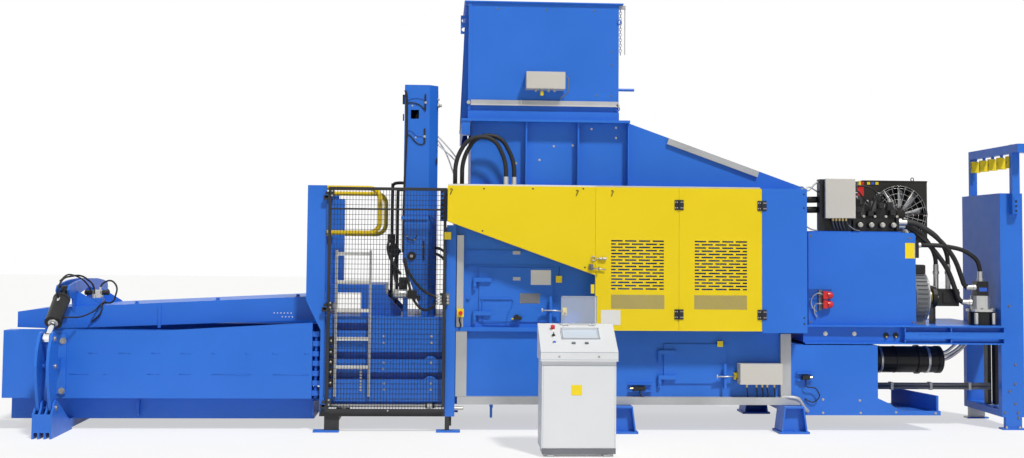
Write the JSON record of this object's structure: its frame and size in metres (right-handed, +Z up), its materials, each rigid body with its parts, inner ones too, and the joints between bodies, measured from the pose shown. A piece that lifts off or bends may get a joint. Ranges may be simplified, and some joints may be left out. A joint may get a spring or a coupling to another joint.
{
  "type": "channel baler",
  "caption": "Channel baler with swinging bale walls, needle tower, feed hopper, folding casing doors, rear power unit, wire stand and separate operator console",
  "frame": {"origin": "the centre of the four press feet, on the floor", "axes": "+X along the machine, from the bale outlet towards the wire stand; +Z up; the near side with the console is -Y"},
  "size_m": [10.35, 3.593, 4.361],
  "materials": {
    "blue_paint": "satin",
    "yellow_paint": "satin",
    "dark_steel": "satin",
    "galvanised": "matte",
    "bare_steel": "satin",
    "chrome": "gloss",
    "ladder_alloy": "satin",
    "motor_grey": "satin",
    "pump_black": "satin",
    "coupling_yellow": "satin",
    "box_grey": "satin",
    "console_paint": "satin",
    "clear_cover": "gloss",
    "hose_rubber": "matte",
    "red_button": "gloss",
    "blue_button": "gloss",
    "black_plastic": "matte"
  },
  "bodies": {
    "frame": {"cable_trays": "galvanised", "casing_panel": "yellow_paint", "chamber": "blue_paint", "channel_base": "blue_paint", "console_cabinet": "console_paint", "drive_motor": "motor_grey", "handrails": "yellow_paint", "hydraulic_hoses": "hose_rubber", "hydraulic_pump": "pump_black", "hydraulic_tank": "blue_paint", "junction_boxes": "box_grey", "ladder": "ladder_alloy", "lower_hopper": "blue_paint", "main_cylinder": "pump_black", "motor_platform": "blue_paint", "needle_tower": "blue_paint", "oil_cooler": "dark_steel", "press_body": "blue_paint", "pulley_frame": "blue_paint", "return_filter": "pump_black", "tying_channel": "blue_paint", "tying_frame": "blue_paint", "upper_hopper": "blue_paint", "valve_block": "bare_steel", "wire_stand": "blue_paint"},
    "near_wall": {"side_wall_near": "blue_paint"},
    "far_wall": {"side_wall_far": "blue_paint"},
    "press_plate": {"top_plate": "blue_paint", "clamp_hoses": "hose_rubber"},
    "near_lever": {"clamp_lever_near": "blue_paint"},
    "far_lever": {"clamp_lever_far": "blue_paint"},
    "near_clamp_barrel": {"clamp_cylinder_near": "blue_paint"},
    "far_clamp_barrel": {"clamp_cylinder_far": "blue_paint"},
    "near_clamp_rod": {"clamp_rod_near": "chrome"},
    "far_clamp_rod": {"clamp_rod_far": "chrome"},
    "guard": {"guard_door": "dark_steel"},
    "carriage": {"needle_carriage": "dark_steel"},
    "roller": {"guide_roller": "bare_steel"},
    "ram": {"press_ram": "blue_paint"},
    "flap": {"prepress_flap": "blue_paint"},
    "flap_barrel": {"prepress_cylinder": "blue_paint"},
    "flap_rod": {"prepress_rod": "chrome"},
    "left_casing_door": {"casing_door_left": "yellow_paint"},
    "right_casing_door": {"casing_door_right": "yellow_paint"},
    "upper_door": {"inspection_door_upper": "blue_paint"},
    "lower_door": {"inspection_door_lower": "blue_paint"},
    "upper_latch": {"latch_upper": "dark_steel"},
    "lower_latch": {"latch_lower": "dark_steel"},
    "frame_stop": {"frame_stop_button": "red_button"},
    "fan": {"cooler_fan": "dark_steel"},
    "coupling": {"pump_coupling": "coupling_yellow"},
    "pulley_1": {"pulley_1": "black_plastic"},
    "pulley_2": {"pulley_2": "black_plastic"},
    "pulley_3": {"pulley_3": "black_plastic"},
    "pulley_4": {"pulley_4": "black_plastic"},
    "pulley_5": {"pulley_5": "black_plastic"},
    "lid": {"console_lid": "clear_cover"},
    "stop": {"console_stop": "red_button"},
    "key": {"console_key": "black_plastic"},
    "button": {"console_button": "blue_button"}
  },
  "joints": [
    {"name": "near_wall_swing", "type": "hinge", "parent": "frame", "child": "near_wall", "pos_m": [-3.925, -0.69, 0.655], "axis": [0, 0, 1], "range_deg": [-0.5, 0.5]},
    {"name": "far_wall_swing", "type": "hinge", "parent": "frame", "child": "far_wall", "pos_m": [-3.925, 0.69, 0.655], "axis": [0, 0, 1], "range_deg": [-0.51, 0.51]},
    {"name": "near_lever_swing", "type": "hinge", "parent": "frame", "child": "near_lever", "pos_m": [-6.423, -1.127, 0.279], "axis": [1, 0, 0], "range_deg": [-3.3, 3.3]},
    {"name": "far_lever_swing", "type": "hinge", "parent": "frame", "child": "far_lever", "pos_m": [-6.423, 1.127, 0.279], "axis": [1, 0, 0], "range_deg": [-3.3, 3.3]},
    {"name": "press_plate_tilt", "type": "hinge", "parent": "frame", "child": "press_plate", "pos_m": [-3.905, 0, 1.18], "axis": [0, 1, 0], "range_deg": [-0.31, 0.31]},
    {"name": "near_barrel_pivot", "type": "hinge", "parent": "press_plate", "child": "near_clamp_barrel", "pos_m": [-6.423, -0.64, 1.375], "axis": [1, 0, 0], "range_deg": [-1.3, 1.3]},
    {"name": "far_barrel_pivot", "type": "hinge", "parent": "press_plate", "child": "far_clamp_barrel", "pos_m": [-6.423, 0.64, 1.375], "axis": [1, 0, 0], "range_deg": [-1.3, 1.3]},
    {"name": "near_rod_stroke", "type": "slide", "parent": "near_clamp_barrel", "child": "near_clamp_rod", "axis": [0, -0.7582, -0.652], "range_m": [-0.04, 0.04]},
    {"name": "far_rod_stroke", "type": "slide", "parent": "far_clamp_barrel", "child": "far_clamp_rod", "axis": [0, 0.7582, -0.652], "range_m": [-0.04, 0.04]},
    {"name": "guard_door_swing", "type": "hinge", "parent": "frame", "child": "guard", "pos_m": [-3.835, -0.824, 1.3], "axis": [0, 0, -1], "range_deg": [0, 110]},
    {"name": "needle_stroke", "type": "slide", "parent": "frame", "child": "carriage", "axis": [0, 0, -1], "range_m": [0, 1.25]},
    {"name": "roller_spin", "type": "hinge", "parent": "frame", "child": "roller", "pos_m": [-2.79, -0.7, 0.252], "axis": [1, 0, 0], "continuous": true},
    {"name": "ram_stroke", "type": "slide", "parent": "frame", "child": "ram", "axis": [-1, 0, 0], "range_m": [0, 1.65]},
    {"name": "flap_swing", "type": "hinge", "parent": "frame", "child": "flap", "pos_m": [-0.78, 0, 1.13], "axis": [0, -1, 0], "range_deg": [0, 85]},
    {"name": "flap_barrel_pivot", "type": "hinge", "parent": "frame", "child": "flap_barrel", "pos_m": [0.64, 0, 2.11], "axis": [0, -1, 0], "range_deg": [-8, 8]},
    {"name": "flap_rod_stroke", "type": "slide", "parent": "flap_barrel", "child": "flap_rod", "axis": [-0.8674, 0, -0.4976], "range_m": [0, 0.4]},
    {"name": "right_casing_door_swing", "type": "hinge", "parent": "frame", "child": "right_casing_door", "pos_m": [0.516, -0.9895, 1.74], "axis": [0, 0, 1], "range_deg": [0, 100]},
    {"name": "left_casing_door_fold", "type": "hinge", "parent": "right_casing_door", "child": "left_casing_door", "pos_m": [-0.322, -0.9895, 1.74], "axis": [0, 0, 1], "range_deg": [0, 140]},
    {"name": "upper_door_swing", "type": "hinge", "parent": "frame", "child": "upper_door", "pos_m": [-2.351, -0.744, 1.3], "axis": [0, 0, -1], "range_deg": [0, 120]},
    {"name": "lower_door_swing", "type": "hinge", "parent": "frame", "child": "lower_door", "pos_m": [-0.474, -0.744, 0.68], "axis": [0, 0, -1], "range_deg": [0, 120]},
    {"name": "upper_latch_turn", "type": "hinge", "parent": "upper_door", "child": "upper_latch", "pos_m": [-1.585, -0.75, 1.215], "axis": [0, -1, 0], "range_deg": [0, 90]},
    {"name": "lower_latch_turn", "type": "hinge", "parent": "lower_door", "child": "lower_latch", "pos_m": [0.19, -0.75, 0.56], "axis": [0, -1, 0], "range_deg": [0, 90]},
    {"name": "frame_stop_press", "type": "slide", "parent": "frame", "child": "frame_stop", "axis": [0, 1, 0], "range_m": [0, 0.006], "stiffness_N_per_m": 800, "springref_m": -0.004},
    {"name": "fan_spin", "type": "hinge", "parent": "frame", "child": "fan", "pos_m": [2.27, 0.05, 2.242], "axis": [0, -1, 0], "continuous": true},
    {"name": "coupling_spin", "type": "hinge", "parent": "frame", "child": "coupling", "pos_m": [2.46, -0.3, 1.36], "axis": [1, 0, 0], "continuous": true},
    {"name": "pulley_1_spin", "type": "hinge", "parent": "frame", "child": "pulley_1", "pos_m": [3.27, 0.29, 2.78], "axis": [0, 1, 0], "continuous": true},
    {"name": "pulley_2_spin", "type": "hinge", "parent": "frame", "child": "pulley_2", "pos_m": [3.27, 0.075, 2.78], "axis": [0, 1, 0], "continuous": true},
    {"name": "pulley_3_spin", "type": "hinge", "parent": "frame", "child": "pulley_3", "pos_m": [3.27, -0.14, 2.78], "axis": [0, 1, 0], "continuous": true},
    {"name": "pulley_4_spin", "type": "hinge", "parent": "frame", "child": "pulley_4", "pos_m": [3.27, -0.355, 2.78], "axis": [0, 1, 0], "continuous": true},
    {"name": "pulley_5_spin", "type": "hinge", "parent": "frame", "child": "pulley_5", "pos_m": [3.27, -0.57, 2.78], "axis": [0, 1, 0], "continuous": true},
    {"name": "lid_hinge", "type": "hinge", "parent": "frame", "child": "lid", "pos_m": [-1.427, -1.93088, 1.14197], "axis": [1, 0, 0], "range_deg": [0, 112]},
    {"name": "console_stop_press", "type": "slide", "parent": "frame", "child": "stop", "axis": [0, 0.5145, -0.8575], "range_m": [0, 0.006], "stiffness_N_per_m": 800, "springref_m": -0.004},
    {"name": "key_turn", "type": "hinge", "parent": "frame", "child": "key", "pos_m": [-1.672, -2.06875, 1.04875], "axis": [0, -0.5145, 0.8575], "range_deg": [0, 90]},
    {"name": "console_button_press", "type": "slide", "parent": "frame", "child": "button", "axis": [0, 0.5145, -0.8575], "range_m": [0, 0.004], "stiffness_N_per_m": 600, "springref_m": -0.004}
  ],
  "couplings": [
    {"joint": "far_wall_swing", "follows": "near_wall_swing", "ratio": -1},
    {"joint": "near_lever_swing", "follows": "near_wall_swing", "ratio": 6.4216},
    {"joint": "far_lever_swing", "follows": "near_wall_swing", "ratio": -6.4216},
    {"joint": "press_plate_tilt", "follows": "near_wall_swing", "ratio": 0.6},
    {"joint": "near_barrel_pivot", "follows": "near_wall_swing", "ratio": -2.1653},
    {"joint": "far_barrel_pivot", "follows": "near_wall_swing", "ratio": 2.1653},
    {"joint": "near_rod_stroke", "follows": "near_wall_swing", "m_per_rad": 4.2782},
    {"joint": "far_rod_stroke", "follows": "near_wall_swing", "m_per_rad": 4.2782},
    {"joint": "flap_barrel_pivot", "follows": "flap_swing", "ratio": -0.055},
    {"joint": "flap_rod_stroke", "follows": "flap_swing", "m_per_rad": 0.2411}
  ]
}
